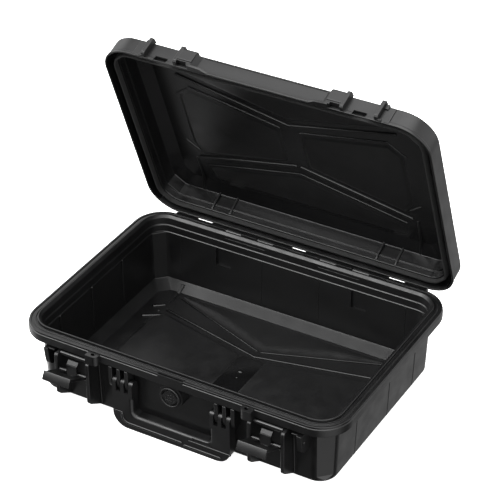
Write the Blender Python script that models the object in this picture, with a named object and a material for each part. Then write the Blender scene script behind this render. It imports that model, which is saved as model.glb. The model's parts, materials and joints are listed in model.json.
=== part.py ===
"""A shallow waterproof hard case: base, hinged lid, two draw latches, a folding handle and a vent valve.

Lengths are in millimetres here and become metres in the meshes. The origin is the centre of the
underside: +X along the length, -Y the handle side, +Z up. The lid is made in its closed place and
then turned open about its hinge.
"""

import math

import bmesh
import bpy
from mathutils import Matrix, Vector

MM = 0.001

# Driving dimensions, in millimetres.
LENGTH, DEPTH = 412.0, 290.0
RIM_Z = 95.0
CLOSED_HEIGHT = 137.0
RIM_RADIUS = 38.0
HALF_DEPTH = DEPTH / 2
LONGER = (LENGTH - DEPTH) / 2
RIM_GAP = 0.15
BAND_BOTTOM = 82.4
WALL_TOP_Y, WALL_LOW_Y = 132.0, 128.5
FLOOR_TOP = 3.0
CORNER_ANGLES = (0, 10, 20, 30, 60, 70, 80, 90)

HINGE_Y, HINGE_Z = 145.5, 88.7
LID_OPEN_DEG = 69.1
KNUCKLE_RADIUS, KNUCKLE_ROOM = 5.9, 6.5
KNUCKLE_EDGES = (9.6, 31.6, 53.6, 75.7, 97.7, 119.7)
STOP_LUG = (141.0, 168.0)
OUTER_RIB = (159.8, 165.8)
HOUSING_RADIUS = 15.2
PIN_RADIUS, PIN_CLEARANCE = 1.6, 0.3

LATCH_X = 125.0
BRACKET_INNER, BRACKET_OUTER = 18.5, 23.0
BRACKET_FRONT_Y = -153.5
LEVER_Y, LEVER_Z = -150.0, 58.5
LEVER_REACH, LEVER_TILT_DEG = 36.0, 28.0
LEVER_HALF_WIDTH, WINDOW_HALF_WIDTH = 17.7, 8.5
HOOK_HALF_WIDTH, HOOK_TOP = 6.7, 75.0
ROD_Y, ROD_Z, ROD_RADIUS = -146.0, 79.0, 2.7

HANDLE_Y, HANDLE_Z = -139.5, 61.5
HANDLE_BOTTOM, GRIP_TOP = 3.5, 23.5
HANDLE_FRONT_Y, HANDLE_BACK_Y = -146.0, -133.4
PRONGS = ((50.0, 55.2), (60.8, 65.5), (71.3, 76.0))
RIBS = ((55.7, 60.3), (66.0, 70.8), (76.5, 81.5))
HANDLE_RADIUS = 18.0

VALVE_X, VALVE_Z = 0.5, 69.0

# Plan outlines (x, y) of one raised band of the floor and one of the lid's ceiling.
FLOOR_BAND = ((-2, 42), (131, 70), (140, 80), (138, 102), (-2, 52))
CEILING_BAND = ((-2, 33), (130, 66), (139, 78), (130, 81), (-2, 44))


def clear_scene():
    for obj in list(bpy.data.objects):
        bpy.data.objects.remove(obj, do_unlink=True)


def material(name, colour, roughness, metallic=0.0):
    made = bpy.data.materials.new(name)
    made.use_nodes = True
    shader = made.node_tree.nodes["Principled BSDF"]
    shader.inputs["Base Color"].default_value = (*colour, 1.0)
    shader.inputs["Roughness"].default_value = roughness
    shader.inputs["Metallic"].default_value = metallic
    return made


def mesh_object(name, points, faces, surface=None):
    """A closed body from points in millimetres, with its faces turned outwards."""
    mesh = bpy.data.meshes.new(name)
    mesh.from_pydata([[c * MM for c in p] for p in points], [], faces)
    work = bmesh.new()
    work.from_mesh(mesh)
    bmesh.ops.recalc_face_normals(work, faces=work.faces)
    work.to_mesh(mesh)
    work.free()
    obj = bpy.data.objects.new(name, mesh)
    bpy.context.scene.collection.objects.link(obj)
    if surface:
        mesh.materials.append(surface)
    return obj


def stacked(loops):
    """Points and faces of the solid through equal loops, capped at both ends."""
    count = len(loops[0])
    points = [p for loop in loops for p in loop]
    faces = [list(range(count)), list(range(len(points) - count, len(points)))]
    for level in range(len(loops) - 1):
        for i in range(count):
            low, nxt = level * count, (i + 1) % count
            faces.append([low + i, low + nxt, low + count + nxt, low + count + i])
    return points, faces


def corner_ring(half_x, half_y, radius, z):
    """A rectangle whose rounded corners each have a flat facet in the middle of the bend."""
    ring = []
    for quarter, (sx, sy) in enumerate(((1, 1), (-1, 1), (-1, -1), (1, -1))):
        for angle in CORNER_ANGLES:
            turn = math.radians(angle + 90 * quarter)
            x = sx * (half_x - radius) + radius * math.cos(turn)
            y = sy * (half_y - radius) + radius * math.sin(turn)
            ring.append((x, y, z))
    return ring


def rims(name, profile, surface):
    """A shell from (half depth, extra half length, height) rows, its corners sharing one centre."""
    rings = []
    for half_y, extra, z in profile:
        radius = max(RIM_RADIUS - (HALF_DEPTH - half_y), 6.0)
        rings.append(corner_ring(half_y + extra, half_y, radius, z))
    return mesh_object(name, *stacked(rings), surface)


def extruded(name, outline, x0, x1, surface=None):
    """A (y, z) outline run along X."""
    loops = [[(x, y, z) for y, z in outline] for x in (x0, x1)]
    return mesh_object(name, *stacked(loops), surface)


def fronted(name, outline, y0, y1, surface=None):
    """An (x, z) outline run along Y."""
    loops = [[(x, y, z) for x, z in outline] for y in (y0, y1)]
    return mesh_object(name, *stacked(loops), surface)


def raised(name, outline, z0, z1, surface=None):
    """An (x, y) outline run along Z."""
    loops = [[(x, y, z) for x, y in outline] for z in (z0, z1)]
    return mesh_object(name, *stacked(loops), surface)


def block(x, y, z):
    return raised("block", [(x[0], y[0]), (x[1], y[0]), (x[1], y[1]), (x[0], y[1])], *z)


def circle(centre, radius, sides, start=0.0):
    turns = [math.tau * i / sides + start for i in range(sides)]
    return [(centre[0] + radius * math.cos(t), centre[1] + radius * math.sin(t)) for t in turns]


def combine(target, tool, operation):
    """One exact Boolean, applied, with its tool removed."""
    change = target.modifiers.new("change", "BOOLEAN")
    change.operation, change.object, change.solver = operation, tool, "EXACT"
    graph = bpy.context.evaluated_depsgraph_get()
    made = bpy.data.meshes.new_from_object(target.evaluated_get(graph))
    target.modifiers.remove(change)
    old, target.data = target.data, made
    bpy.data.meshes.remove(old)
    bpy.data.objects.remove(tool, do_unlink=True)


def add(target, *tools):
    for tool in tools:
        combine(target, tool, "UNION")


def cut(target, *tools):
    for tool in tools:
        combine(target, tool, "DIFFERENCE")


def span(side, low, high):
    """The X range from low to high, on the +X or the -X side."""
    return (low, high) if side > 0 else (-high, -low)


def on_axis(obj, y, z, parent=None):
    """Moves the origin to a joint's axis, which runs along X, and keeps the shape where it is."""
    origin = Vector((0, y * MM, z * MM))
    obj.data.transform(Matrix.Translation(-origin))
    obj.location = origin
    if parent:
        obj.parent, obj.location = parent, (0, 0, 0)


# The base


def base_profile():
    return (
        (112.5, 60, 0), (WALL_LOW_Y, 60, 8), (WALL_TOP_Y, 60, 81.2), (139, 61, BAND_BOTTOM),
        (144.4, 61, BAND_BOTTOM), (HALF_DEPTH, 61, 83), (HALF_DEPTH, 61, RIM_Z - 0.8),
        (144.3, 61, RIM_Z - RIM_GAP), (141.5, 61, RIM_Z - RIM_GAP), (141, 61, 94.0),
        (137, 61, 94.0), (136.5, 61, RIM_Z - RIM_GAP), (134.8, 60.5, RIM_Z - RIM_GAP),
        (134.5, 60.5, 97.0), (134, 60.5, 97.4), (130.6, 60.5, 97.4), (130.2, 60.5, 97.0),
        (130, 60.2, 93.5), (129, 60, 92.5), (126.2, 59.5, 8), (110, 59.5, FLOOR_TOP),
    )


def latch_mount(shell, side):
    """Two bracket walls with blind holes for the rod and the lever pin, and a padlock ear."""
    front, back = BRACKET_FRONT_Y, -130.0
    outline = ((back, 80.5), (front + 2, 80.5), (front, 78.5), (front, 27), (front + 3, 23.5), (-128, 9.5))
    for near, far in ((-BRACKET_OUTER, -BRACKET_INNER), (BRACKET_INNER, BRACKET_OUTER)):
        add(shell, extruded("wall", outline, *span(side, LATCH_X + near, LATCH_X + far)))
    reach = span(side, LATCH_X - BRACKET_INNER - 3, LATCH_X + BRACKET_INNER + 3)
    cut(shell, extruded("rod_holes", circle((ROD_Y, ROD_Z), 1.3, 12), *reach))
    cut(shell, extruded("pin_holes", circle((LEVER_Y, LEVER_Z), PIN_RADIUS + 0.1, 12), *reach))
    add(shell, block(span(side, 91.5, 106.5), (-151.8, -140), (80, 92.5)))
    cut(shell, raised("padlock_hole", circle((side * 98.5, -147.9), 2.5, 16), 70, 100))


def outer_rib(shell, side):
    outline = ((-129.5, 52), (-140, 53.5), (-145.5, 57.5), (-148.6, 79.5), (-130, 79.5))
    add(shell, extruded("rib", outline, *span(side, *OUTER_RIB)))


def handle_ribs(shell, side):
    outline = ((-129.5, 53.5), (-142, 53.5), (-145, 57), (-145, 81.5), (-131, 81.5))
    for low, high in RIBS:
        add(shell, extruded("rib", outline, *span(side, low, high)))
    reach = span(side, RIBS[0][0] - 1, RIBS[-1][1] - 1.5)
    cut(shell, extruded("bore", circle((HANDLE_Y, HANDLE_Z), PIN_RADIUS + 0.1, 12), *reach))


def valve_seat(shell):
    centre = (VALVE_X, VALVE_Z)
    add(shell, fronted("housing", circle(centre, HOUSING_RADIUS, 40), -144.7, -130))
    cut(shell, fronted("bore", circle(centre, 6.4, 20), -150, -120))
    cut(shell, fronted("counterbore", circle(centre, 11.0, 24), -150, -141.0))


def knuckle(y_out, low, high, top):
    """One hinge knuckle, a barrel with a straight web towards the shell."""
    round_side = circle((HINGE_Y, HINGE_Z), KNUCKLE_RADIUS, 20)
    barrel = extruded("barrel", round_side, low, high)
    web = block((low, high), y_out, top)
    add(barrel, web)
    return barrel


def base_hinge(shell, side):
    edges = KNUCKLE_EDGES
    for i in (1, 3):
        low, high = span(side, edges[i] - 0.2, edges[i + 1] + 0.2)
        cut(shell, extruded("room", circle((HINGE_Y, HINGE_Z), KNUCKLE_ROOM, 20), low, high))
        cut(shell, block((low, high), (HINGE_Y - KNUCKLE_ROOM, 160), (HINGE_Z, 100)))
    for i in (0, 2, 4):
        low, high = span(side, edges[i] + 0.2, edges[i + 1] - 0.2)
        add(shell, knuckle((138, HINGE_Y), low, high, (HINGE_Z - KNUCKLE_RADIUS, HINGE_Z + KNUCKLE_RADIUS - 0.2)))
    bore = circle((HINGE_Y, HINGE_Z), PIN_RADIUS + PIN_CLEARANCE, 12)
    cut(shell, extruded("bore", bore, *span(side, edges[0] + 2, edges[-1] - 2)))
    add(shell, block(span(side, *STOP_LUG), (143, 151.2), (83, 91.3)))


def floor_pattern(shell, arm, z0, z1):
    """Raised bands that run from the middle towards the four corners and widen on the way."""
    for sx in (1, -1):
        for sy in (1, -1):
            add(shell, raised("band", [(x * sx, y * sy) for x, y in arm], z0, z1))


def pockets(shell, y0, y1, x, z):
    for side in (1, -1):
        cut(shell, block(span(side, *x), (y0, y1), z))


def base_shell(surface):
    shell = rims("base_shell", base_profile(), surface)
    for side in (1, -1):
        latch_mount(shell, side)
        outer_rib(shell, side)
        handle_ribs(shell, side)
        base_hinge(shell, side)
    valve_seat(shell)
    floor_pattern(shell, FLOOR_BAND, 1.5, FLOOR_TOP + 1.2)
    pockets(shell, 120, 128.8, (81.5, 103.5), (51, 72))
    return shell


# The lid, in its closed place


def lid_profile():
    low = RIM_Z + RIM_GAP
    return (
        (114.3, 60, 134), (128.4, 60, 126), (129.4, 60, 110), (130.4, 60.2, 104),
        (130.8, 60.2, 103.2), (132.1, 60.4, 103), (132.4, 60.4, 103.4), (132.4, 60.5, 108.2),
        (141.8, 60.8, 108.2), (142.4, 61, low + 0.6), (143, 61, low), (144.4, 61, low),
        (HALF_DEPTH, 61, low + 0.65), (HALF_DEPTH, 61, 119), (117, 61, CLOSED_HEIGHT),
    )


def lid_catch(shell, side):
    """Two ribs, a recess for the latch between them and a padlock block beside them."""
    outline = ((-144, 96.5), (-151, 97.5), (-151, 122), (-144, 124))
    for near, far in ((-BRACKET_OUTER, -BRACKET_INNER), (BRACKET_INNER, BRACKET_OUTER)):
        add(shell, extruded("rib", outline, *span(side, LATCH_X + near, LATCH_X + far)))
    cut(shell, block(span(side, 118, 132), (-150, -141), (90, 101.7)))
    outline = ((-144, 95.3), (-151, 95.3), (-151, 112), (-144, 118))
    add(shell, extruded("block", outline, *span(side, 80, 102.5)))
    cut(shell, raised("padlock_hole", circle((side * 98.5, -147.9), 2.5, 16), 90, 104))


def lid_hinge(shell, side):
    edges = KNUCKLE_EDGES
    for i in (1, 3):
        low, high = span(side, edges[i] + 0.2, edges[i + 1] - 0.2)
        reach = (HALF_DEPTH - 2, HINGE_Y + KNUCKLE_RADIUS - 1)
        add(shell, knuckle(reach, low, high, (HINGE_Z, 99)))
    bore = circle((HINGE_Y, HINGE_Z), PIN_RADIUS + PIN_CLEARANCE, 12)
    cut(shell, extruded("bore", bore, *span(side, edges[0] + 2, edges[-1] - 2)))


def lid_shell(surface):
    shell = rims("lid_shell", lid_profile(), surface)
    for side in (1, -1):
        lid_catch(shell, side)
        lid_hinge(shell, side)
        for i in (0, 2, 4):
            low, high = span(side, KNUCKLE_EDGES[i] - 0.2, KNUCKLE_EDGES[i + 1] + 0.2)
            cut(shell, extruded("room", circle((HINGE_Y, HINGE_Z), KNUCKLE_ROOM, 20), low, high))
    floor_pattern(shell, CEILING_BAND, 132.6, 135.5)
    pockets(shell, 124, 130.2, (96, 140), (110, 125))
    return shell


def lid_gasket(surface):
    profile = (
        (132.8, 60.5, 107.9), (132.8, 60.5, 103.2), (133.2, 60.5, 98), (134.8, 60.5, 98),
        (136.4, 60.5, 103.8), (136.4, 60.5, 107.9),
    )
    rings = []
    for half_y, extra, z in profile:
        radius = RIM_RADIUS - (HALF_DEPTH - half_y)
        rings.append(corner_ring(half_y + extra, half_y, radius, z))
    points, faces = stacked([*rings, rings[0]])
    total = len(rings) * len(rings[0])
    # The loop closes on itself: the caps go, and the last ring is the first one again.
    faces = [[i % total for i in face] for face in faces[2:]]
    return mesh_object("lid_gasket", points[:total], faces, surface)


# The moving pieces


def handle(surface):
    """Two forked arms and a grip, hanging against the front."""
    outer, inner = PRONGS[-1][1], 51.0
    outline = []
    for side in (1, -1):
        arc = []
        for step in range(7):
            turn = math.radians(15 * step)
            x = outer - HANDLE_RADIUS + HANDLE_RADIUS * math.cos(turn)
            arc.append((side * x, HANDLE_BOTTOM + HANDLE_RADIUS - HANDLE_RADIUS * math.sin(turn)))
        top = [(side * inner, GRIP_TOP + 4), (side * inner, 68), (side * outer, 68)]
        low = [(side * (inner - 4), GRIP_TOP)]
        outline += low + top + arc if side > 0 else arc[::-1] + top[::-1] + low
    body = fronted("handle", outline, HANDLE_FRONT_Y, HANDLE_BACK_Y, surface)
    cut(body, extruded("swing_room", ((-137, 70), (-130, 70), (-130, 61)), -90, 90))
    for side in (1, -1):
        for low, high in RIBS[:2]:
            x = span(side, low - 0.5, high + 0.5)
            cut(body, block(x, (-150, -130), (52.3, 75)))
        bore = circle((HANDLE_Y, HANDLE_Z), PIN_RADIUS + PIN_CLEARANCE, 12)
        cut(body, extruded("bore", bore, *span(side, 45, 80)))
        add(body, block(span(side, 50, 51.2), (HANDLE_FRONT_Y + 1, HANDLE_BACK_Y - 1), (64.5, 67.5)))
    on_axis(body, HANDLE_Y, HANDLE_Z)
    return body


def tilted(points):
    """Lever points (along, outwards) about the pin, raised by the rest tilt."""
    turn = math.radians(90 - LEVER_TILT_DEG)
    placed = []
    for along, out in points:
        y = -(along * math.sin(turn) + out * math.cos(turn))
        z = along * math.cos(turn) - out * math.sin(turn)
        placed.append((LEVER_Y + y, LEVER_Z + z))
    return placed


def lever(name, side, surface):
    """Two arms on the pin, a plate beyond the window between them, and a finger lip."""
    x = span(side, LATCH_X - LEVER_HALF_WIDTH, LATCH_X + LEVER_HALF_WIDTH)
    plate = ((0, -0.7), (LEVER_REACH - 2.5, -0.7), (LEVER_REACH - 1.6, -1.5), (LEVER_REACH, -0.9),
             (LEVER_REACH, 9.2), (LEVER_REACH - 2.4, 9.6), (LEVER_REACH - 3, 2.2), (0, 2.2))
    body = extruded(name, tilted(plate), *x, surface)
    add(body, extruded("eye", circle((LEVER_Y, LEVER_Z), 3.2, 16), *x))
    window = ((-9, -9), (18, -9), (18, 9), (-9, 9))
    gap = span(side, LATCH_X - WINDOW_HALF_WIDTH, LATCH_X + WINDOW_HALF_WIDTH)
    cut(body, extruded("window", tilted(window), *gap))
    bore = circle((LEVER_Y, LEVER_Z), PIN_RADIUS + PIN_CLEARANCE, 12)
    cut(body, extruded("bore", bore, x[0] - 5, x[1] + 5))
    on_axis(body, LEVER_Y, LEVER_Z)
    return body


def hook(name, side, surface):
    """An upright claw on the lever's pin, bent back at its top."""
    x = span(side, LATCH_X - HOOK_HALF_WIDTH, LATCH_X + HOOK_HALF_WIDTH)
    outline = ((-153.7, LEVER_Z), (-153.7, HOOK_TOP - 4.4), (-148.9, HOOK_TOP), (-147.9, HOOK_TOP - 0.4),
               (-148.2, HOOK_TOP - 2.4), (-151.3, HOOK_TOP - 5.4), (-151.3, LEVER_Z))
    body = extruded(name, outline, *x, surface)
    add(body, extruded("eye", circle((LEVER_Y, LEVER_Z), 3.7, 20), *x))
    bore = circle((LEVER_Y, LEVER_Z), PIN_RADIUS + PIN_CLEARANCE, 12)
    cut(body, extruded("bore", bore, x[0] - 5, x[1] + 5))
    on_axis(body, LEVER_Y, LEVER_Z)
    return body


# Pins, rods and the valve


def rod(name, side, surface):
    reach = LATCH_X - BRACKET_INNER + 0.4, LATCH_X + BRACKET_INNER - 0.4
    body = extruded(name, circle((ROD_Y, ROD_Z), ROD_RADIUS, 20), *span(side, *reach), surface)
    ends = span(side, reach[0] - 2.8, reach[1] + 2.8)
    add(body, extruded("journal", circle((ROD_Y, ROD_Z), 1.0, 12), *ends))
    return body


def pin(name, centre, x, surface):
    return extruded(name, circle(centre, PIN_RADIUS - 0.2, 16), *x, surface)


def valve(rubber, plastic, cloth):
    centre = (VALVE_X, VALVE_Z)
    body = fronted("valve_body", circle(centre, 6.1, 24), -144.2, -121.5, plastic)
    add(body, fronted("flange", circle(centre, 10.6, 32), -144.2, -142.9))
    cut(body, fronted("seat", circle(centre, 5.0, 20), -150, -142.2))
    cut(body, fronted("vent", circle(centre, 1.6, 12), -150, -110))
    fronted("valve_membrane", circle(centre, 4.7, 24), -143.4, -142.6, cloth)
    ring = fronted("valve_o_ring", circle(centre, 9.6, 32), -142.6, -141.3, rubber)
    cut(ring, fronted("hole", circle(centre, 7.2, 24), -150, -130))
    nut = fronted("valve_nut", circle(centre, 10.0, 6, math.pi / 6), -127.5, -123.0, plastic)
    cut(nut, fronted("bore", circle(centre, 6.4, 24), -150, -110))
    cap = fronted("valve_cap", circle(centre, 12.6, 40), -147.2, -145.0, plastic)
    groove = fronted("groove", circle(centre, 9.0, 32), -148, -146.5)
    cut(groove, fronted("disc", circle(centre, 7.4, 32), -150, -140))
    cut(cap, groove)
    for quarter in range(4):
        turn = math.radians(45 + 90 * quarter)
        spot = (centre[0] + 8.2 * math.cos(turn), centre[1] + 8.2 * math.sin(turn))
        cut(cap, fronted("slot", circle(spot, 0.7, 8), -150, -140))


def hang_lid(parts):
    """Turns the closed lid and what it carries to the open rest position."""
    axis = bpy.data.objects.new("lid_hinge_axis", None)
    bpy.context.scene.collection.objects.link(axis)
    axis.location = (0, HINGE_Y * MM, HINGE_Z * MM)
    axis.rotation_euler = (-math.radians(LID_OPEN_DEG), 0, 0)
    for part in parts:
        on_axis(part, HINGE_Y, HINGE_Z, axis)


def main():
    clear_scene()
    shell_black = material("case_black", (0.012, 0.012, 0.013), 0.45)
    latch_black = material("latch_black", (0.014, 0.014, 0.015), 0.35)
    rubber = material("gasket_rubber", (0.008, 0.008, 0.008), 0.8)
    steel = material("pin_steel", (0.45, 0.45, 0.46), 0.3, 1.0)
    cloth = material("membrane_white", (0.7, 0.7, 0.68), 0.9)
    base_shell(shell_black)
    hang_lid([lid_shell(shell_black), lid_gasket(rubber)])
    handle(shell_black)
    valve(rubber, latch_black, cloth)
    for side, word in ((-1, "left"), (1, "right")):
        lever(f"latch_{word}_lever", side, latch_black)
        hook(f"latch_{word}_hook", side, latch_black)
        rod(f"latch_{word}_rod", side, latch_black)
        reach = LATCH_X - BRACKET_INNER - 2.7, LATCH_X + BRACKET_INNER + 2.7
        pin(f"latch_{word}_pin", (LEVER_Y, LEVER_Z), span(side, *reach), steel)
        pin(f"hinge_pin_{word}", (HINGE_Y, HINGE_Z), span(side, 12, 117.2), steel)
        pin(f"handle_pin_{word}", (HANDLE_Y, HANDLE_Z), span(side, 51.5, 79.5), steel)


main()
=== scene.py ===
import json
import math

import bmesh
import bpy
from mathutils import Matrix, Quaternion, Vector


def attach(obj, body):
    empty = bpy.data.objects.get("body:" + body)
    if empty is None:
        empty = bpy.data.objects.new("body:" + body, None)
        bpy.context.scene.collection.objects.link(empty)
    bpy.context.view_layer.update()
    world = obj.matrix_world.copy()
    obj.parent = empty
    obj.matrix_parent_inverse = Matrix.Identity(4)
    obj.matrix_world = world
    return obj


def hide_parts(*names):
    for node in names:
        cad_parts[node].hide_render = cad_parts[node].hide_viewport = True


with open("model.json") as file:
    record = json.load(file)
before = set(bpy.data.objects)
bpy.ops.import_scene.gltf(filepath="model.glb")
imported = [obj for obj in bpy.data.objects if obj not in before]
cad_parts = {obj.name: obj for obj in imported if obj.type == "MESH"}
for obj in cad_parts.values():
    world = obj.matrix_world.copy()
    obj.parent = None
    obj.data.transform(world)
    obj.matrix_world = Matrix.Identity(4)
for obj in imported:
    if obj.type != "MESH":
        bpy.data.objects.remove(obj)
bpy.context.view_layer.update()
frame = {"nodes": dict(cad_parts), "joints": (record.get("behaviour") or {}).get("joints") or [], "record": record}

# Lengths are in millimetres and become metres in the meshes.
MM = 0.001
DEPTH = 290.0
HALF_DEPTH = DEPTH / 2
RIM_Z, BAND_BOTTOM, LID_TOP = 95.0, 82.4, 137.0
RIM_RADIUS, LEAST_RADIUS = 38.0, 16.0
RIM_GAP = 0.15
# What the case's half length has over its half depth at the walls.
EXTRA_HALF_LENGTH = 60
WALL_TOP_Y, WALL_LOW_Y = 132.0, 128.5
WALL_TOP_Z, WALL_LOW_Z = 80, 9
FLOOR_Z, CEILING_Z = 3.0, 134.0
CEILING_EDGE_Y, CEILING_SLOPE = 112.0, 0.4545
CORNER_STEPS = 11
# The flat facet in the middle of a corner, as angles round its quarter turn in degrees.
FACET = (20.0, 70.0)

# Raised detail: how far it reaches into its wall, and the power that shapes a bead's section, where 1 is
# an ellipse and less is steeper at the sides.
SUNK = 0.6
STEEPNESS = 0.85

JOINTS = {j["name"]: j for j in frame["joints"]}
HINGE_Y, HINGE_Z = (c / MM for c in JOINTS["lid_hinge"]["pos_m"][1:])
LID_OPEN = math.radians(-JOINTS["lid_hinge"]["range_deg"][0])
LEVER_Y, LEVER_Z = (c / MM for c in JOINTS["latch_right_lever_turn"]["pos_m"][1:])
HANDLE_Y, HANDLE_Z = (c / MM for c in JOINTS["handle_swing"]["pos_m"][1:])
KNUCKLE_RADIUS, KNUCKLE_ROOM = 5.9, 6.5
BARREL_RADIUS, BARREL_GAP = KNUCKLE_RADIUS + 0.4, 0.2
SKIRT_Y, INNER_LIP_Y = 144.3, 132.3
KNUCKLE_EDGES = (9.6, 31.6, 53.6, 75.7, 97.7, 119.7)
STOP_LUG = (141.0, 170.0)
STOP_OUTLINE = (
    (143, 83), (143, 94.5), (145.5, 94.8), (147.6, 94.4), (149.4, 93.3), (151.2, 91.3), (151.2, 83),
)
SILL_OUTLINE = ((143, 87), (143, 94.75), (145.6, 94.85), (146.8, 94.3), (147, 87))
OUTER_RIB = (159.8, 165.8)

LATCH_X = 125.0
BRACKETS = ((-23.0, -18.5), (18.5, 23.0))
BRACKET_FRONT_Y = -153.5
LEVER_REACH, LEVER_TILT = 36.0, math.radians(28.0)
LEVER_HALF_WIDTH, WINDOW_HALF_WIDTH = 17.7, 8.5
ROD_Y, ROD_Z, ROD_RADIUS, ROD_HALF_LENGTH = -146.0, 79.0, 2.7, 18.1
PADLOCK_X, PADLOCK_Y = 98.5, -147.2

PRONGS = ((50.0, 55.2), (60.8, 65.5), (71.3, 76.0))
RIBS = ((55.7, 60.3), (66.0, 70.8), (76.5, 81.5))
HANDLE_BOTTOM, GRIP_TOP, HANDLE_RADIUS = 3.5, 23.5, 18.0
HANDLE_FRONT_Y, HANDLE_BACK_Y = -146.0, -133.4
FORK_Z = 52.3

VALVE = (0.5, 69.0)
HOUSING_RADIUS, HOUSING_HALF, HOUSING_FRONT_Y = 15.2, 16.0, -144.7
RING_RADIUS, RING_INNER_RADIUS, RING_FRONT_Y = 12.6, 10.6, -147.4
GRILLE_RADIUS, GRILLE_FRONT_Y = 10.4, -146.7
GRILLE_LINE_SPACING, GRILLE_LINE_HALF, GRILLE_LINE_REACH = 3.6, 0.35, 6

# The camera's place and what it looks at, in metres, its lens and the lean of its picture.
EYE, TARGET = (0.97235, -1.63785, 1.44516), (-0.00783, 0.04563, 0.15)
LENS_MM, LEAN = 147.06, math.radians(-0.485)

# Each glow of the studio: azimuth and elevation in degrees, strength, and the angles from its middle
# where it starts to fade and where it ends.
SOFT, MILD, KEEN = (18, 42), (8, 24), (6, 15)
GLOWS = (
    (0, 90, 3.6, SOFT), (60, 52, 1.0, SOFT), (0, 17, 0.27, SOFT), (45, 17, 1.9, SOFT), (135, 17, 1.4, SOFT),
    (270, 17, 2.4, SOFT), (60, -25, 0.9, SOFT), (150, -32, 0.15, MILD), (180, -25, 0.45, SOFT),
    (242, -38, 1.2, SOFT), (300, -25, 0.3, SOFT), (315, 52, 8.0, KEEN), (326, 42, 4.0, KEEN),
    (2, 42, 6.0, KEEN), (292, 31, 6.0, KEEN), (206, 34, 1.5, MILD),
)

# Materials

CLOUD_SCALE, GLOSS_SCALE, GLOSS_DETAIL, GRAIN_SCALE = 25.0, 60.0, 5.0, 900.0
BLACK = ((0.003, 0.003, 0.0031), (0.0042, 0.0042, 0.0044))
PAD_BLACK = ((0.004, 0.004, 0.0041), (0.0055, 0.0055, 0.0057))
RUBBER = ((0.006, 0.006, 0.006), (0.009, 0.009, 0.009))
WHITE = ((0.6, 0.6, 0.58), (0.7, 0.7, 0.68))
STEEL = ((0.42, 0.42, 0.43), (0.5, 0.5, 0.5))


def new_material(name):
    made = bpy.data.materials.new(name)
    made.use_nodes = True
    return made, made.node_tree.nodes, made.node_tree.links


def noise(nodes, links, scale, detail=3.0):
    """A noise texture in object space."""
    place = nodes.new("ShaderNodeTexCoord")
    made = nodes.new("ShaderNodeTexNoise")
    made.inputs["Scale"].default_value = scale
    made.inputs["Detail"].default_value = detail
    links.new(place.outputs["Object"], made.inputs["Vector"])
    return made.outputs["Fac"]


def ranged(nodes, links, value, low, high):
    made = nodes.new("ShaderNodeMapRange")
    made.inputs["From Min"].default_value = 0.3
    made.inputs["From Max"].default_value = 0.7
    made.inputs["To Min"].default_value = low
    made.inputs["To Max"].default_value = high
    links.new(value, made.inputs["Value"])
    return made.outputs["Result"]


def moulded(name, colours, rough, grain):
    """A moulded surface: a fine texture, faint clouding between two colours and slightly uneven gloss."""
    dark, light = colours
    made, nodes, links = new_material(name)
    shader = nodes["Principled BSDF"]
    mix = nodes.new("ShaderNodeMix")
    mix.data_type = "RGBA"
    mix.inputs["A"].default_value = (*dark, 1.0)
    mix.inputs["B"].default_value = (*light, 1.0)
    links.new(ranged(nodes, links, noise(nodes, links, CLOUD_SCALE), 0.0, 1.0), mix.inputs["Factor"])
    links.new(mix.outputs["Result"], shader.inputs["Base Color"])
    gloss = noise(nodes, links, GLOSS_SCALE, GLOSS_DETAIL)
    links.new(ranged(nodes, links, gloss, *rough), shader.inputs["Roughness"])
    bump = nodes.new("ShaderNodeBump")
    bump.inputs["Strength"].default_value = grain
    bump.inputs["Distance"].default_value = 0.0001
    links.new(noise(nodes, links, GRAIN_SCALE), bump.inputs["Height"])
    links.new(bump.outputs["Normal"], shader.inputs["Normal"])
    return made


def steel():
    made = moulded("pin_steel_look", STEEL, (0.22, 0.34), 0.1)
    made.node_tree.nodes["Principled BSDF"].inputs["Metallic"].default_value = 1.0
    return made


# Besides the frame's slots, the black plastic comes in three more finishes.
LOOKS = {
    "case_black": moulded("case_black_look", BLACK, (0.29, 0.4), 0.1),
    "pad_black": moulded("pad_black_look", PAD_BLACK, (0.33, 0.46), 0.15),
    "satin_black": moulded("satin_black_look", BLACK, (0.2, 0.26), 0.06),
    "polished_black": moulded("polished_black_look", BLACK, (0.16, 0.21), 0.03),
    "latch_black": moulded("latch_black_look", BLACK, (0.28, 0.33), 0.06),
    "gasket_rubber": moulded("gasket_look", RUBBER, (0.7, 0.85), 0.3),
    "membrane_white": moulded("membrane_look", WHITE, (0.8, 0.95), 0.4),
    "pin_steel": steel(),
}

# Mesh helpers


def solid(name, points, faces):
    mesh = bpy.data.meshes.new(name)
    mesh.from_pydata([[c * MM for c in p] for p in points], [], faces)
    mesh.validate()
    obj = bpy.data.objects.new(name, mesh)
    bpy.context.scene.collection.objects.link(obj)
    face_out(mesh)
    return obj


def face_out(mesh):
    work = bmesh.new()
    work.from_mesh(mesh)
    bmesh.ops.recalc_face_normals(work, faces=work.faces)
    work.to_mesh(mesh)
    work.free()


def stacked(loops):
    """Points and faces of the solid through equal loops, capped at both ends."""
    count = len(loops[0])
    points = [p for loop in loops for p in loop]
    faces = [list(range(count)), list(range(len(points) - count, len(points)))]
    for level in range(len(loops) - 1):
        for i in range(count):
            low, nxt = level * count, (i + 1) % count
            faces.append([low + i, low + nxt, low + count + nxt, low + count + i])
    return points, faces


def extruded(name, outline, x0, x1):
    """A (y, z) outline run along X."""
    return solid(name, *stacked([[(x, y, z) for y, z in outline] for x in (x0, x1)]))


def fronted(name, outline, y0, y1):
    """An (x, z) outline run along Y."""
    return solid(name, *stacked([[(x, y, z) for x, z in outline] for y in (y0, y1)]))


def raised(name, outline, z0, z1):
    """An (x, y) outline run along Z."""
    return solid(name, *stacked([[(x, y, z) for x, y in outline] for z in (z0, z1)]))


def block(x, y, z):
    return raised("block", [(x[0], y[0]), (x[1], y[0]), (x[1], y[1]), (x[0], y[1])], *z)


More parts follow.
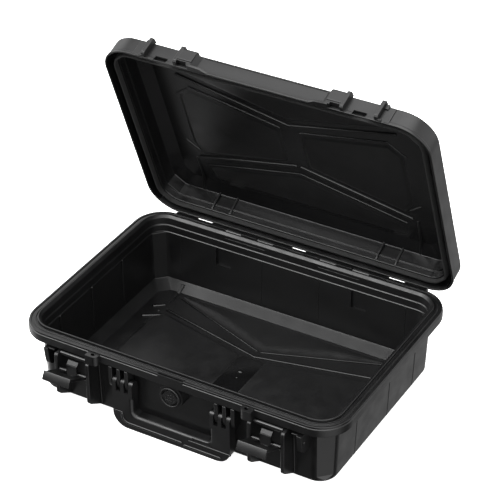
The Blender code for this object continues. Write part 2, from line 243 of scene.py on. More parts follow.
def arc(centre, radius, start, stop, steps):
    """Points on a circle between two angles in degrees, both ends included."""
    turns = [math.radians(start + (stop - start) * i / steps) for i in range(steps + 1)]
    return [(centre[0] + radius * math.cos(t), centre[1] + radius * math.sin(t)) for t in turns]


def circle(centre, radius, sides=32):
    return arc(centre, radius, 0, 360 - 360 / sides, sides - 1)


def combine(target, tool, operation):
    change = target.modifiers.new("change", "BOOLEAN")
    change.operation, change.object, change.solver = operation, tool, "EXACT"
    graph = bpy.context.evaluated_depsgraph_get()
    made = bpy.data.meshes.new_from_object(target.evaluated_get(graph))
    target.modifiers.remove(change)
    target.data = made
    bpy.data.objects.remove(tool, do_unlink=True)


def add(target, *tools):
    for tool in tools:
        combine(target, tool, "UNION")


def cut(target, *tools):
    for tool in tools:
        combine(target, tool, "DIFFERENCE")


def joined(name, parts):
    """Several solids as one object."""
    points, faces = [], []
    for part in parts:
        start = len(points)
        points += [tuple(v.co / MM) for v in part.data.vertices]
        faces += [[start + i for i in face.vertices] for face in part.data.polygons]
        bpy.data.objects.remove(part, do_unlink=True)
    return solid(name, points, faces)


def span(side, low, high):
    """The X range from low to high, on the +X or the -X side."""
    return (low, high) if side > 0 else (-high, -low)


def show(obj, body, slot, bevel=0.5, replaces=(), sharp=None, look=None):
    """Gives a piece its finish, rounds its edges by the bevel and puts it on its body."""
    obj.data.materials.clear()
    obj.data.materials.append(LOOKS[look or slot])
    obj.data.shade_smooth()
    if sharp:
        obj.data.set_sharp_from_angle(angle=math.radians(sharp))
    if bevel:
        edge = obj.modifiers.new("rounded_edges", "BEVEL")
        edge.width, edge.segments = bevel * MM, 3
        edge.limit_method, edge.angle_limit = "ANGLE", math.radians(32)
        edge.harden_normals = True
    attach(obj, body)
    if replaces:
        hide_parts(*replaces)
    return obj


def opened(obj):
    """Turns a piece made in the lid's closed place to where the lid rests open."""
    axis = Matrix.Translation((0, HINGE_Y * MM, HINGE_Z * MM))
    obj.data.transform(axis @ Matrix.Rotation(-LID_OPEN, 4, "X") @ axis.inverted())
    return obj


# Raised detail on a surface. A place function turns (u, v, height) into a point.


def on_floor(u, v, height):
    return u, v, FLOOR_Z + height


def on_ceiling(u, v, height):
    return u, v, CEILING_Z - height


def on_back_bevel(u, v, height):
    """The ceiling, and past it the sloped field down to the hinge wall."""
    return u, v, CEILING_Z - height - max(0.0, v - CEILING_EDGE_Y) * CEILING_SLOPE


def facing(y):
    """A front face at this depth: u is X and v is Z."""
    return lambda u, v, height: (u, y - height, v)


def sideways(x):
    """An end wall at this X, its detail pointing to the middle: u is Y and v is Z."""
    return lambda u, v, height: (x - math.copysign(height, x), u, v)


def normals_of(points, closed):
    """Unit side vectors at each point of a path, longer where it bends."""
    count, found = len(points), []
    for i in range(count):
        here = Vector(points[i])
        before = Vector(points[i - 1]) if closed or i else here * 2 - Vector(points[1])
        after = Vector(points[(i + 1) % count]) if closed or i < count - 1 else here * 2 - before
        a, b = (here - before).normalized(), (after - here).normalized()
        side = Vector((a.y + b.y, -a.x - b.x)).normalized()
        found.append(side / max(side.dot(Vector((a.y, -a.x))), 0.4))
    return found


def strip(path, half):
    """The outline of a band along a path, with round ends."""
    sides = normals_of(path, False)
    start, stop = Vector(path[0]), Vector(path[-1])
    outline = [tuple(Vector(p) + n * half) for p, n in zip(path, sides)]
    turn = math.degrees(math.atan2(sides[-1].y, sides[-1].x))
    outline += arc(stop, half, turn + 15, turn + 165, 8)
    outline += [tuple(Vector(p) - n * half) for p, n in zip(path[::-1], sides[::-1])]
    turn = math.degrees(math.atan2(-sides[0].y, -sides[0].x))
    outline += arc(start, half, turn + 15, turn + 165, 8)
    return outline


def bead(name, path, half, rise, place):
    """A ridge along a path, with a rounded section."""
    loops = [[place(u, v, -SUNK) for u, v in strip(path, half)]]
    for turn in (0, 6, 20, 40, 58, 74, 86):
        turn = math.radians(turn)
        outline = strip(path, half * math.cos(turn) ** STEEPNESS)
        loops.append([place(u, v, rise * math.sin(turn) ** STEEPNESS) for u, v in outline])
    return solid(name, *stacked(loops))


def eased(t):
    """A smooth rise from 0 to 1 as t goes from 0 to 1."""
    return t * t * (3 - 2 * t)


def pad(name, outline, rise, slope, place):
    """A raised field whose edges ease down over the width of the slope."""
    turn = sum(a[0] * b[1] - b[0] * a[1] for a, b in zip(outline, outline[1:] + outline[:1]))
    inward = -1 if turn > 0 else 1
    sides = normals_of(outline, True)
    loops = [[place(u, v, -SUNK) for u, v in outline]]
    for t in (0, 0.15, 0.3, 0.5, 0.7, 0.85, 1):
        reach = inward * slope * t
        moved = [(u + n.x * reach, v + n.y * reach) for (u, v), n in zip(outline, sides)]
        loops.append([place(u, v, rise * eased(t)) for u, v in moved])
    return solid(name, *stacked(loops))


# Lofted shells


def softened(profile, steps=8):
    """Profile rows (half depth, extra half length, height, fillet) with each fillet drawn as a curve."""
    rows = [(*profile[0][:3], profile[0][4])]
    for before, here, after in zip(profile, profile[1:], profile[2:]):
        p, radius = Vector(here[:3]), here[3]
        if not radius:
            rows.append((*p, here[4]))
            continue
        a, b = Vector(before[:3]) - p, Vector(after[:3]) - p
        reach_a, reach_b = min(radius, 0.45 * a.length), min(radius, 0.45 * b.length)
        a, b = p + a.normalized() * reach_a, p + b.normalized() * reach_b
        for i in range(steps + 1):
            t = i / steps
            rows.append((*(a * (1 - t) ** 2 + p * 2 * t * (1 - t) + b * t * t), here[4]))
    rows.append((*profile[-1][:3], profile[-1][4]))
    return rows


def corner_angles(faceted):
    """Angles round one corner: an even bend, or one with a flat facet in its middle."""
    if not faceted:
        return [90 * i / CORNER_STEPS for i in range(CORNER_STEPS + 1)]
    half = CORNER_STEPS // 2
    bend = [FACET[0] * i / half for i in range(half + 1)]
    return bend + [FACET[1] + angle for angle in bend]


def corner_ring(half_x, half_y, radius, z, faceted):
    ring = []
    for quarter, (sx, sy) in enumerate(((1, 1), (-1, 1), (-1, -1), (1, -1))):
        for angle in corner_angles(faceted):
            turn = math.radians(angle + 90 * quarter)
            x = sx * (half_x - radius) + radius * math.cos(turn)
            ring.append((x, sy * (half_y - radius) + radius * math.sin(turn), z))
    return ring


def lofted(name, profile):
    loops = []
    for half_y, extra, z, faceted in profile:
        radius = max(RIM_RADIUS - (HALF_DEPTH - half_y), LEAST_RADIUS)
        loops.append(corner_ring(half_y + extra, half_y, radius, z, faceted))
    return solid(name, *stacked(loops))


# The pattern of floor and ceiling: raised bands towards the corners between softly raised fields.
# A bead's size is its half width and its rise, a field's is its rise and the width of its slope.

FLOOR_OUTER, FLOOR_INNER = ((3.0, 52.0), (137.0, 100.5)), ((0.5, 41.0), (140.0, 72.0))
FLOOR_FIELD = ((19, -37), (142, -63), (152, -54), (152, 54), (142, 66.5), (19, 39), (15, 34), (15, -32))
FLOOR_CHANNEL = [(12, 37), (17.5, 30), (17.5, -28), (12, -35)]
FLOOR_CHANNEL += [(-x, y) for x, y in FLOOR_CHANNEL[::-1]]
FLOOR_DASHES = (((160.7, 48), (143.5, 58.9)), ((159.7, 71.7), (149.3, 80.1)))
FLOOR_DOT = ((149.6, 66.0), (149.0, 67.0))
BUTTON, SMALL_BUTTON = ((0.2, 7.2), (0.6, 7.2)), ((1.7, -4.0), (1.9, -4.0))
FLOOR_WIDE, FLOOR_FINE = (1.9, 1.9), (0.9, 1.4)

CEILING_FRONT_OUTER, CEILING_FRONT_INNER = ((0.0, -40.4), (140.5, -78.0)), ((13.5, -32.0), (128.5, -60.5))
CEILING_BACK_OUTER, CEILING_BACK_INNER = ((0.0, 46.7), (133.0, 81.5)), ((4.0, 33.0), (141.5, 69.8))
CEILING_CHAMFER, CEILING_DASH = ((129.9, -58.4), (149.1, -42.3)), ((155.8, 43.2), (141.0, 56.1))
CEILING_FIELD = ((17, -29.5), (129, -56), (146, -41), (146, 43), (135, 62), (17, 30.5), (13, 26), (13, -26))
CEILING_END_FIELD = ((0, 49.5), (132, 86), (128, 106), (-128, 106), (-132, 86))
CEILING_SEAM = ((148, 74), (147, 112), (147, 126))
CEILING_WIDE, CEILING_FINE = (1.9, 2.2), (1.0, 1.3)


def mirrored(path, sx, sy):
    return [(x * sx, y * sy) for x, y in path]


def quarters():
    return [(sx, sy) for sx in (1, -1) for sy in (1, -1)]


def end_field(sy):
    """The floor between the bands and an end wall: a soft rise, then a slow fall to the wall's foot."""
    half, back, columns = 137.0, 107.6, 24
    middle_front, band_slope = 54.3, 0.36
    full_slope, full_rise, full_room = 13.0, 2.7, 22.0
    low, base_z = FLOOR_Z - 0.8, FLOOR_Z - 0.02
    loops = []
    for step in range(columns + 1):
        x = half * (2 * step / columns - 1)
        front = middle_front + abs(x) * band_slope
        room = back - front
        slope, rise = min(full_slope, 0.5 * room), full_rise * min(1.0, room / full_room)
        loop = [(x, sy * front, low)]
        for t in (0, 0.12, 0.25, 0.4, 0.55, 0.7, 0.85, 1):
            loop.append((x, sy * (front + slope * t), base_z + rise * eased(t)))
        loop += [(x, sy * back, base_z), (x, sy * back, low)]
        loops.append(loop)
    return solid("end_field", *stacked(loops))


def floor_pattern():
    fields, beads = [end_field(sy) for sy in (1, -1)], []
    for sx, sy in quarters():
        beads.append(bead("inner", mirrored(FLOOR_INNER, sx, sy), *FLOOR_WIDE, on_floor))
        beads.append(bead("outer", mirrored(FLOOR_OUTER, sx, sy), *FLOOR_FINE, on_floor))
    for sx in (1, -1):
        fields.append(pad("field", mirrored(FLOOR_FIELD, sx, 1), 1.3, 5.0, on_floor))
        for path in FLOOR_DASHES:
            beads.append(bead("dash", mirrored(path, sx, 1), 2.1, 1.9, on_floor))
        beads.append(bead("dot", mirrored(FLOOR_DOT, sx, 1), 1.3, 1.2, on_floor))
    beads.append(bead("button", BUTTON, 2.9, 2.4, on_floor))
    beads.append(bead("small_button", SMALL_BUTTON, 1.3, 1.2, on_floor))
    show(joined("floor_fields", fields), "base", "case_black", 0, (), 30, "pad_black")
    show(joined("floor_beads", beads), "base", "case_black", 0, (), 30, "satin_black")
    channel = pad("floor_channel", FLOOR_CHANNEL, 0.4, 1.0, on_floor)
    show(channel, "base", "case_black", 0, (), 30, "polished_black")


def ceiling_pattern():
    fields, beads = [], []
    for sx in (1, -1):
        beads.append(bead("front_outer", mirrored(CEILING_FRONT_OUTER, sx, 1), *CEILING_WIDE, on_ceiling))
        beads.append(bead("front_inner", mirrored(CEILING_FRONT_INNER, sx, 1), *CEILING_FINE, on_ceiling))
        beads.append(bead("back_outer", mirrored(CEILING_BACK_OUTER, sx, 1), *CEILING_FINE, on_ceiling))
        beads.append(bead("back_inner", mirrored(CEILING_BACK_INNER, sx, 1), *CEILING_WIDE, on_ceiling))
        beads.append(bead("chamfer", mirrored(CEILING_CHAMFER, sx, 1), 0.8, 0.9, on_ceiling))
        beads.append(bead("dash", mirrored(CEILING_DASH, sx, 1), 1.2, 1.2, on_ceiling))
        fields.append(pad("field", mirrored(CEILING_FIELD, sx, 1), 1.3, 5.5, on_ceiling))
        fields.append(bead("seam", mirrored(CEILING_SEAM, sx, 1), 1.5, 0.9, on_back_bevel))
    for sy in (1, -1):
        fields.append(pad("end_field", mirrored(CEILING_END_FIELD, 1, sy), 1.2, 5.0, on_ceiling))
    show(opened(joined("ceiling_fields", fields)), "lid", "case_black", 0, (), 30)
    show(opened(joined("ceiling_beads", beads)), "lid", "case_black", 0, (), 30, "satin_black")


# The base


def base_profile():
    """Rows from the middle of the underside round the rim to the floor inside."""
    top, groove = RIM_Z - RIM_GAP, 93.7
    return (
        (112.5, EXTRA_HALF_LENGTH, 0, 0, 0), (WALL_LOW_Y, EXTRA_HALF_LENGTH, 8, 1.6, 0),
        (WALL_LOW_Y + 0.3, EXTRA_HALF_LENGTH, 14, 0, 1), (WALL_TOP_Y, EXTRA_HALF_LENGTH, 80.4, 0, 1),
        (WALL_TOP_Y, EXTRA_HALF_LENGTH, 80.8, 0, 1),
        (138.4, 61, 81.3, 0.5, 0), (139.0, 61, BAND_BOTTOM, 0.5, 0), (HALF_DEPTH, 61, BAND_BOTTOM, 0.6, 0),
        (HALF_DEPTH, 61, 91.6, 0.5, 0), (144.1, 61, 92.3, 0.2, 0), (144.1, 61, top, 0.6, 0),
        (141.6, 61, top, 0.3, 0), (141.2, 61, groove, 0.3, 0), (139.2, 61, groove, 0.3, 0),
        (138.8, 61, top, 0.3, 0), (136.6, 60.8, top, 0.3, 0), (136.2, 60.8, groove - 0.1, 0.3, 0),
        (134.9, 60.5, groove - 0.1, 0.3, 0), (134.5, 60.5, 97.4, 0.5, 0), (133.4, 60.5, 97.5, 0.4, 0),
        (130.0, 60.4, 94.7, 0.6, 0), (129.3, 60.2, 86.2, 0.3, 0), (128.2, 60.1, 85.2, 0.4, 0),
        (128.0, 60, 76.8, 0.3, 0), (127.0, 60, 75.9, 0.4, 1), (125.8, 59.5, 10.6, 0.5, 1),
        (112, 59.5, FLOOR_Z, 0, 1),
    )


def corner_channel(side):
    """A shallow channel that follows the floor and climbs the slope to the hinge wall."""
    x, radius = side * 148, 4.2
    path = ((86, FLOOR_Z + 3.0), (111, FLOOR_Z + 3.0), (122, FLOOR_Z + 8.6))
    rows = [[(u, y, z) for u, z in circle((x, height), radius, 24)] for y, height in path]
    return solid("corner_channel", *stacked(rows))


def base_skin():
    skin = lofted("base_moulding", softened(base_profile()))
    for side in (1, -1):
        for i in (1, 3):
            low, high = span(side, KNUCKLE_EDGES[i] - BARREL_GAP, KNUCKLE_EDGES[i + 1] + BARREL_GAP)
            cut(skin, extruded("room", circle((HINGE_Y, HINGE_Z), KNUCKLE_ROOM), low, high))
            cut(skin, block((low, high), (HINGE_Y - KNUCKLE_ROOM, 160), (HINGE_Z, 100)))
        pocket = block(span(side, 82.0, 102.8), (120, 129.6), (51.2, 75.2))
        cut(skin, pocket)
        cut(skin, corner_channel(side))
    return show(skin, "base", "case_black", 0, ["base_shell"], 15)


def on_lip_wall(u, v, height):
    """The hinge wall inside, above its step: u is X and v is Z."""
    return u, 129.6 - height, v


def on_inner_wall(u, v, height):
    """The hinge wall inside, below its step, leaning outwards as it rises."""
    foot_y, foot_z, lean = 125.9, 8, 0.017
    return u, foot_y + (v - foot_z) * lean - height, v


def inner_wall_ribs():
    """Ribs on the end walls inside, and fine lines on the hinge wall."""
    end_x, line_ends, seams = 186.6, ((36, 91.2), (91, 91.0)), (39.0, 153.0)
    parts = []
    for side in (1, -1):
        for y in (-85.0, -18.5, 47.0):
            parts.append(bead("rib", [(y, 14.0), (y, 75.6)], 1.7, 1.4, sideways(side * end_x)))
        parts.append(bead("line", mirrored(line_ends, side, 1), 0.5, 0.5, on_lip_wall))
        for x in seams:
            parts.append(bead("seam", [(side * x, 14.0), (side * x, 74.0)], 0.4, 0.35, on_inner_wall))
    show(joined("inner_wall_ribs", parts), "base", "case_black", 0.35)


def outer_wall_lines():
    """Shallow upright lines on the end walls outside."""
    wide, sunk, proud = 0.5, 0.4, 0.4
    wall_x, lean = WALL_LOW_Y + EXTRA_HALF_LENGTH, WALL_TOP_Y - WALL_LOW_Y
    parts = []
    for side in (1, -1):
        for y in (-66.0, 13.0, 77.0):
            near, far = side * (wall_x - sunk), side * (wall_x + proud)
            foot = [(near, y - wide), (far, y - wide), (far, y + wide), (near, y + wide)]
            top = [(x + side * lean, v) for x, v in foot]
            loops = [[(x, v, WALL_LOW_Z) for x, v in foot], [(x, v, WALL_TOP_Z) for x, v in top]]
            parts.append(solid("line", *stacked(loops)))
    show(joined("outer_wall_lines", parts), "base", "case_black", 0.2)


def bracket_walls():
    """The two walls that hold each latch's rod and pin, with a small rib where they meet the case."""
    front, root_width, shelf_half = BRACKET_FRONT_Y, 1.6, 19
    wall = ((-130, 80.5), (front + 2, 80.5), (front, 78.5), (front, 27), (front + 3, 23.5), (-128, 9.5))
    root = ((-134.4, 78), (-132.4, 12), (-128, 10), (-130, 79))
    shelf = ((-130, 80.5), (-139.5, 80.5), (-139.5, 78.5), (-130, 70))
    parts = []
    for side in (1, -1):
        for low, high in BRACKETS:
            parts.append(extruded("wall", wall, *span(side, LATCH_X + low, LATCH_X + high)))
            outer = LATCH_X + high if low > 0 else LATCH_X + low - root_width
            parts.append(extruded("root", root, *span(side, outer, outer + root_width)))
        parts.append(extruded("shelf", shelf, *span(side, LATCH_X - shelf_half, LATCH_X + shelf_half)))
    show(joined("latch_brackets", parts), "base", "case_black", 0.8)


def padlock_ears():
    outline = [(106.5, -140), (106.5, -152.6), *arc((97.6, -146.6), 6.0, 270, 180, 8), (91.6, -140)]
    for side, word in ((-1, "left"), (1, "right")):
        ear = raised(f"padlock_ear_{word}", mirrored(outline, side, 1), 80.5, 92.8)
        cut(ear, raised("hole", circle((side * PADLOCK_X, PADLOCK_Y), 2.7, 24), 70, 100))
        show(ear, "base", "case_black", 0.9)


def outer_ribs():
    """The rib outside each latch with a dimple in its outer side, and the ledge beside it."""
    outline = [(-129.5, 52), (-140, 53.5), (-145.3, 57.5), (-147.0, 66), (-148.6, 79.5), (-130, 79.5)]
    dimple_depth = 1.2
    parts = []
    for side in (1, -1):
        rib = extruded("rib", outline, *span(side, *OUTER_RIB))
        room = span(side, OUTER_RIB[1] - dimple_depth, 170)
        cut(rib, extruded("dimple", circle((-141.5, 68), 1.5, 20), *room))
        parts.append(rib)
        parts.append(block(span(side, 152.5, 160.2), (-146.2, -130), (77.5, 79.5)))
    show(joined("outer_ribs", parts), "base", "case_black", 0.8)


def handle_ribs():
    outline = [(-129.5, 53.5), (-142, 53.5), (-144.2, 57), (-145, 62), (-145, 81.5), (-131, 81.5)]
    parts = [extruded("rib", outline, *span(side, low, high)) for side in (1, -1) for low, high in RIBS]
    show(joined("handle_ribs", parts), "base", "case_black", 1.1)


def valve_slots(target):
    """Cuts the four curved slots of the valve."""
    outer, inner, half_turn, steps = 9.9, 8.5, 35, 18
    for quarter in range(4):
        start, stop = 90 * quarter + 45 - half_turn, 90 * quarter + 45 + half_turn
        outline = arc(VALVE, outer, start, stop, steps) + arc(VALVE, inner, stop, start, steps)
        cut(target, fronted("slot", outline, -150, -140))


def valve():
    housing = fronted("valve_housing", circle(VALVE, HOUSING_RADIUS, 64), HOUSING_FRONT_Y, -130)
    valve_slots(housing)
    filler = block((-HOUSING_HALF, HOUSING_HALF), (-144.95, -139), (BAND_BOTTOM, RIM_Z - RIM_GAP))
    show(joined("valve_housing", [housing, filler]), "base", "case_black", 0.9)
    ring = fronted("valve_ring", circle(VALVE, RING_RADIUS, 64), RING_FRONT_Y, HOUSING_FRONT_Y)
    cut(ring, fronted("inner", circle(VALVE, RING_INNER_RADIUS, 64), -150, -130))
    show(ring, "base", "latch_black", 0.8, ["valve_cap"], 30)
    valve_grille()


def valve_grille():
    """The cap's face inside its ring, with the slots and a grid of fine lines."""
    grille = fronted("valve_grille", circle(VALVE, GRILLE_RADIUS, 64), GRILLE_FRONT_Y, -145.0)
    valve_slots(grille)
    x, z = VALVE
    depth, half, reach = (-150, GRILLE_FRONT_Y + 0.35), GRILLE_LINE_HALF, GRILLE_LINE_REACH
    for offset in (-GRILLE_LINE_SPACING, 0, GRILLE_LINE_SPACING):
        cut(grille, block((x + offset - half, x + offset + half), depth, (z - reach, z + reach)))
        cut(grille, block((x - reach, x + reach), depth, (z + offset - half, z + offset + half)))
    show(grille, "base", "latch_black", 0.25, (), 30)


def hinge_barrels(which, web_y, web_z):
    """The hinge's barrels at these places, each with the web that joins it to its shell."""
    parts = []
    for side in (1, -1):
        for i in which:
            low, high = span(side, KNUCKLE_EDGES[i] + BARREL_GAP, KNUCKLE_EDGES[i + 1] - BARREL_GAP)
            barrel = extruded("barrel", circle((HINGE_Y, HINGE_Z), BARREL_RADIUS, 48), low, high)
            add(barrel, block((low, high), web_y, web_z))
            parts.append(barrel)
    return parts


def hinge_stops():
    """The lugs that stop the lid, and the sills between the rows of barrels and beside them."""
    end, into = KNUCKLE_EDGES[0] + 1, 1
    parts = []
    for side in (1, -1):
        parts.append(extruded("stop_lug", STOP_OUTLINE, *span(side, *STOP_LUG)))
        sill = span(side, KNUCKLE_EDGES[-1] - into, STOP_LUG[0] + into)
        parts.append(extruded("sill", SILL_OUTLINE, *sill))
    return parts + [extruded("sill", SILL_OUTLINE, -end, end)]


def base():
    base_skin()
    inner_wall_ribs()
    outer_wall_lines()
    bracket_walls()
    padlock_ears()
    outer_ribs()
    handle_ribs()
    valve()
    web_z = (HINGE_Z - KNUCKLE_RADIUS, HINGE_Z + KNUCKLE_RADIUS - 0.2)
    barrels = hinge_barrels((0, 2, 4), (138, HINGE_Y), web_z)
    show(joined("hinge_knuckles_base", barrels + hinge_stops()), "base", "case_black", 0.5)
    floor_pattern()


# The lid, in its closed place


def lid_profile():
    """Rows from the middle of the ceiling round the lip and the skirt to the lid's top."""
    low, groove = RIM_Z + RIM_GAP, 108.2
    return (
        (CEILING_EDGE_Y, 60, CEILING_Z, 0, 1), (127.4, 60, 127, 0.8, 1), (128.6, 60, 111.4, 0.4, 1),
        (129.4, 60, 110.8, 0.3, 0), (130.2, 60.2, 104, 0.5, 0), (130.5, 60.3, 102.9, 0.6, 0),
        (132.2, 60.4, 102.9, 0.6, 0), (132.4, 60.5, groove, 0.2, 0), (141.8, 60.8, groove, 0.2, 0),
        (142.6, 61, low + 0.6, 0.3, 0), (143.1, 61, low, 0.3, 0), (HALF_DEPTH, 61, low, 0.7, 0),
        (HALF_DEPTH, 61, 98.6, 0.4, 0), (SKIRT_Y, 61, 99.3, 0.3, 0), (SKIRT_Y, 61, 118.2, 1.0, 0),
        (117, 61, LID_TOP, 0, 0),
    )


def faces_inwards(mesh, face):
    """Whether a face of the closed lid belongs to its inside."""
    within = all(abs(mesh.vertices[i].co.y) < INNER_LIP_Y * MM for i in face.vertices)
    return within and face.normal.z < -0.01


def lid_skin():
    skin = lofted("lid_moulding", softened(lid_profile()))
    for side in (1, -1):
        latch_recess = block(span(side, 116.5, 132.5), (-150, -139.5), (95.9, 102.4))
        cut(skin, latch_recess)
        for i in (0, 2, 4):
            low, high = span(side, KNUCKLE_EDGES[i] - BARREL_GAP, KNUCKLE_EDGES[i + 1] + BARREL_GAP)
            cut(skin, extruded("room", circle((HINGE_Y, HINGE_Z), KNUCKLE_ROOM), low, high))
        pocket = block(span(side, 100, 124), (124, 129.6), (111.5, 125))
        cut(skin, pocket)
    inside = [face.index for face in skin.data.polygons if faces_inwards(skin.data, face)]
    show(opened(skin), "lid", "case_black", 0, ["lid_shell"], 15)
    skin.data.materials.append(LOOKS["satin_black"])
    for index in inside:
        skin.data.polygons[index].material_index = 1


def lid_catches():
    """Beside each latch: two ribs, the padlock block with its slot and taper, and a step in the skirt."""
    rib = ((-142, 96.0), (-150, 96.0), (-151.8, 98.5), (-151.8, 119), (-150, 121), (-142, 122.5))
    ear = ((-142, 101.2), (-151.0, 101.2), (-151.8, 102), (-151.8, 115.5), (-149.4, 118.6), (-142, 119.8))
    flange = ((88, -150.6), (84.5, -150.6), (72, -149.4), (63, -144.8), (63, -142.8), (88, -142.8))
    slope = ((85, -150.5), (78.5, -144.0), (85, -142))
    parts = []
    for side in (1, -1):
        for low, high in BRACKETS:
            parts.append(extruded("rib", rib, *span(side, LATCH_X + low, LATCH_X + high)))
        parts.append(extruded("block", ear, *span(side, 84.5, 102.5)))
        parts.append(raised("flange", mirrored(flange, side, 1), 95.3, 98.6))
        parts.append(block(span(side, 84.5, 90), (-150.6, -142.8), (97, 102)))
        parts.append(block(span(side, 86, 103), (-151.0, -143), (99.6, 101.4)))
        parts.append(raised("slope", mirrored(slope, side, 1), 96.5, 116.6))
        parts.append(block(span(side, 148.0, 160.5), (-145.5, -142), (96.2, 117.6)))
        parts.append(block(span(side, 147.8, 152.5), (-147.2, -142), (112.5, 119.2)))
        parts.append(block(span(side, 146.8, 151.5), (-147.2, -142), (95.6, 98.6)))
    show(opened(joined("lid_catch_ribs", parts)), "lid", "case_black", 0.7)


def lid_front_lines():
    """Fine beads along the top and the foot of the skirt."""
    lines = [bead("top_edge", [(-76, 116.9), (76, 116.9)], 0.9, 0.9, facing(-SKIRT_Y))]
    lines.append(bead("lip_edge", [(-64, 96.4), (64, 96.4)], 0.9, 0.7, facing(-HALF_DEPTH + 0.1)))
    show(opened(joined("lid_front_lines", lines)), "lid", "case_black", 0, (), 30, "satin_black")


def lid_wall_ribs():
    """Small ribs on the lid's hinge wall inside."""
    outline, half = ((130.6, 104), (129.4, 104), (127.0, 112), (125.4, 128.2), (129.5, 128.2)), 1.1
    parts = []
    for side in (1, -1):
        for x in (99.5, 124.5):
            parts.append(extruded("rib", outline, *span(side, x - half, x + half)))
    show(opened(joined("lid_wall_ribs", parts)), "lid", "case_black", 0.3)


def lid():
    lid_skin()
    lid_catches()
    lid_front_lines()
    lid_wall_ribs()
    web_y = (HALF_DEPTH - 1.9, HINGE_Y + KNUCKLE_RADIUS - 1)
    barrels = hinge_barrels((1, 3), web_y, (HINGE_Z, 99))
    show(opened(joined("hinge_knuckles_lid", barrels)), "lid", "case_black", 0.5)
    ceiling_pattern()


# The moving pieces on the front


def handle():
    body = handle_bow()
    for side in (1, -1):
        for low, high in PRONGS:
            add(body, prong(*span(side, low, high)))
    cut(body, fronted("chevron", [(24, 26), (28.5, 18.8), (51, 18.8), (51, 26)], -150, -144.6))
    show(body, "handle", "case_black", 0.8, ["handle"])
    handle_lines()


def bow_outline(recede):
    """The (x, z) outline of grip and arms, its inner edges drawn back by recede."""
    outer, inner = PRONGS[-1][1], PRONGS[0][0] + recede
    top, bend_radius = GRIP_TOP - recede, 6.0 + recede
    outline = []
    for side in (1, -1):
        bend = arc((outer - HANDLE_RADIUS, HANDLE_BOTTOM + HANDLE_RADIUS), HANDLE_RADIUS, 0, -90, 12)
        inside = arc((inner - bend_radius, top + bend_radius), bend_radius, -90, 0, 8)
        half = inside + [(inner, FORK_Z), (outer, FORK_Z)] + bend
        half = [(side * x, z) for x, z in half]
        outline += half if side > 0 else half[::-1]
    return outline


def handle_bow():
    """The grip and its two arms up to the foot of the forks, the inner front edge well rounded."""
    steps, depth, draw = 8, 5.5, 4.2
    rows = []
    for step in range(steps + 1):
        turn = math.radians(90 * step / steps)
        rows.append((HANDLE_FRONT_Y + depth * (1 - math.cos(turn)), draw * (1 - math.sin(turn))))
    rows.append((HANDLE_BACK_Y, 0.0))
    loops = [[(x, y, z) for x, z in bow_outline(recede)] for y, recede in rows]
    return solid("carry_handle", *stacked(loops))


def prong(x0, x1):
    """An upright with a round head about the handle's pin."""
    head = arc((HANDLE_Y, HANDLE_Z), HANDLE_Y - HANDLE_FRONT_Y, 180, 0, 14)
    head = [(y, z) for y, z in head if y < -136] + [(-134.6, 65), (-133.4, 58)]
    return extruded("prong", [(HANDLE_FRONT_Y, FORK_Z - 6), *head, (HANDLE_BACK_Y, FORK_Z - 6)], x0, x1)


def handle_lines():
    """Beads moulded on the front of the grip."""
    place = facing(HANDLE_FRONT_Y)
    left = [(-64, 22.5), *arc((-55.5, 20.0), 8.5, 190, 270, 8), (13, 11.2)]
    parts = [bead("left_line", left, 1.7, 1.7, place)]
    parts.append(bead("low_line", [(18, 9.0), (63, 9.0)], 1.7, 1.7, place))
    parts.append(bead("high_line", [(24, 17.6), (76, 17.6)], 1.3, 1.3, place))
    parts.append(bead("step_line", [(-75, 24.3), (-64, 24.3)], 1.0, 0.9, place))
    show(joined("handle_lines", parts), "handle", "case_black", 0, (), 40, "satin_black")


def tilted(points):
    """Lever points (along, outwards) about the pin, raised by the rest tilt."""
    turn = math.pi / 2 - LEVER_TILT
    placed = []
    for along, out in points:
        y = -(along * math.sin(turn) + out * math.cos(turn))
        placed.append((LEVER_Y + y, LEVER_Z + along * math.cos(turn) - out * math.sin(turn)))
    return placed


def lever(side, word):
    """A plate that ends in a lip, with an eye about the pin and a window for the hook."""
    x, end = span(side, LATCH_X - LEVER_HALF_WIDTH, LATCH_X + LEVER_HALF_WIDTH), LEVER_REACH
    plate = ((0, -0.7), (end - 2.6, -0.7), (end - 1.8, -1.5), (end - 0.3, -1.5), (end, -0.9),
             (end, 9.2), (end - 2.4, 9.6), (end - 3, 2.2), (0, 2.2))
    body = extruded(f"lever_{word}", tilted(plate), *x)
    add(body, extruded("eye", circle((LEVER_Y, LEVER_Z), 3.2), *x))
    gap = span(side, LATCH_X - WINDOW_HALF_WIDTH, LATCH_X + WINDOW_HALF_WIDTH)
    cut(body, extruded("window", tilted(((-9, -9), (18, -9), (18, 9), (-9, 9))), *gap))
    show(body, f"lever_{word}", "latch_black", 0.5, [f"latch_{word}_lever"])


def hook(side, word):
    x = span(side, LATCH_X - 6.7, LATCH_X + 6.7)
    outline = ((-153.7, LEVER_Z), (-153.7, 70.4), (-153.1, 71.3), (-152.2, 71.5), (-149.2, 74.8),
               (-148.2, 75.0), (-147.9, 74.2), (-148.3, 72.6), (-151.3, 69.6), (-151.3, LEVER_Z))
    body = extruded(f"hook_{word}", outline, *x)
    add(body, extruded("eye", circle((LEVER_Y, LEVER_Z), 3.7), *x))
    show(body, f"hook_{word}", "latch_black", 0.4, [f"latch_{word}_hook"])


def cross_rod(side, word):
    x = span(side, LATCH_X - ROD_HALF_LENGTH, LATCH_X + ROD_HALF_LENGTH)
    body = extruded(f"cross_rod_{word}", circle((ROD_Y, ROD_Z), ROD_RADIUS, 40), *x)
    show(body, "base", "latch_black", 0.4, [f"latch_{word}_rod"], None, "polished_black")


# Carried-over CAD nodes, floor, light and camera


def dress_nodes():
    for entry in frame["record"]["subparts"]:
        node = frame["nodes"][entry["node"]]
        node.data.materials.clear()
        node.data.materials.append(LOOKS[entry["material_slot"]])


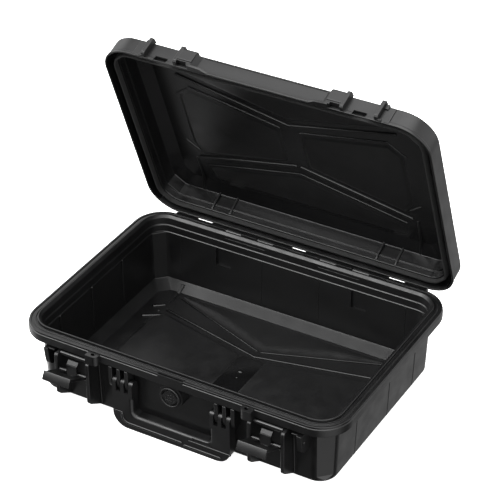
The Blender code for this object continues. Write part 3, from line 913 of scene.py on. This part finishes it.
def stage():
    """A white floor that the case's gloss doesn't mirror and that lets the low lights through."""
    mesh = bpy.data.meshes.new("floor")
    half = 6.0
    corners = [(-half, -half, 0), (half, -half, 0), (half, half, 0), (-half, half, 0)]
    mesh.from_pydata(corners, [], [(0, 1, 2, 3)])
    floor = bpy.data.objects.new("floor", mesh)
    bpy.context.scene.collection.objects.link(floor)
    made, nodes = new_material("floor_white")[:2]
    shader = nodes["Principled BSDF"]
    shader.inputs["Base Color"].default_value = (0.92, 0.92, 0.92, 1)
    shader.inputs["Roughness"].default_value = 0.9
    shader.inputs["Specular IOR Level"].default_value = 0.0
    shader.inputs["Emission Color"].default_value = (1, 1, 1, 1)
    shader.inputs["Emission Strength"].default_value = 0.85
    mesh.materials.append(made)
    floor.visible_glossy = False
    floor.visible_diffuse = False
    floor.visible_shadow = False


def glow(nodes, links, place, azimuth, elevation, strength, edges):
    """A soft round glow in the world, its azimuth turned from the front of the case towards its right."""
    turn, rise = math.radians(azimuth), math.radians(elevation)
    near = nodes.new("ShaderNodeVectorMath")
    near.operation = "DOT_PRODUCT"
    level = math.cos(rise)
    near.inputs[1].default_value = (math.sin(turn) * level, -math.cos(turn) * level, math.sin(rise))
    links.new(place, near.inputs[0])
    fade = nodes.new("ShaderNodeMapRange")
    fade.interpolation_type = "SMOOTHSTEP"
    fade.inputs["From Min"].default_value = math.cos(math.radians(edges[1]))
    fade.inputs["From Max"].default_value = math.cos(math.radians(edges[0]))
    fade.inputs["To Min"].default_value = 0.0
    fade.inputs["To Max"].default_value = strength
    links.new(near.outputs["Value"], fade.inputs["Value"])
    return fade.outputs["Result"]


def studio():
    """The world's light, which is the sum of all the glows."""
    world = bpy.data.worlds.new("studio")
    world.use_nodes = True
    nodes, links = world.node_tree.nodes, world.node_tree.links
    place = nodes.new("ShaderNodeTexCoord").outputs["Generated"]
    total = None
    for spot in GLOWS:
        value = glow(nodes, links, place, *spot)
        if total is not None:
            both = nodes.new("ShaderNodeMath")
            links.new(total, both.inputs[0])
            links.new(value, both.inputs[1])
            value = both.outputs["Value"]
        total = value
    back = nodes["Background"]
    back.inputs["Color"].default_value = (1, 1, 1, 1)
    links.new(total, back.inputs["Strength"])
    bpy.context.scene.world = world
    bpy.context.scene.view_settings.view_transform = "Standard"


def camera():
    """The eye, what it looks at, and a slight lean of the picture."""
    data = bpy.data.cameras.new("view")
    data.sensor_width, data.lens = 36.0, LENS_MM
    eye = bpy.data.objects.new("view", data)
    eye.location = EYE
    look = (Vector(TARGET) - eye.location).to_track_quat("-Z", "Y")
    lean = Quaternion((0, 0, 1), LEAN)
    eye.rotation_euler = (look @ lean).to_euler()
    bpy.context.scene.collection.objects.link(eye)
    bpy.context.scene.camera = eye


dress_nodes()
base()
lid()
handle()
for side, word in ((-1, "left"), (1, "right")):
    lever(side, word)
    hook(side, word)
    cross_rod(side, word)
stage()
studio()
camera()
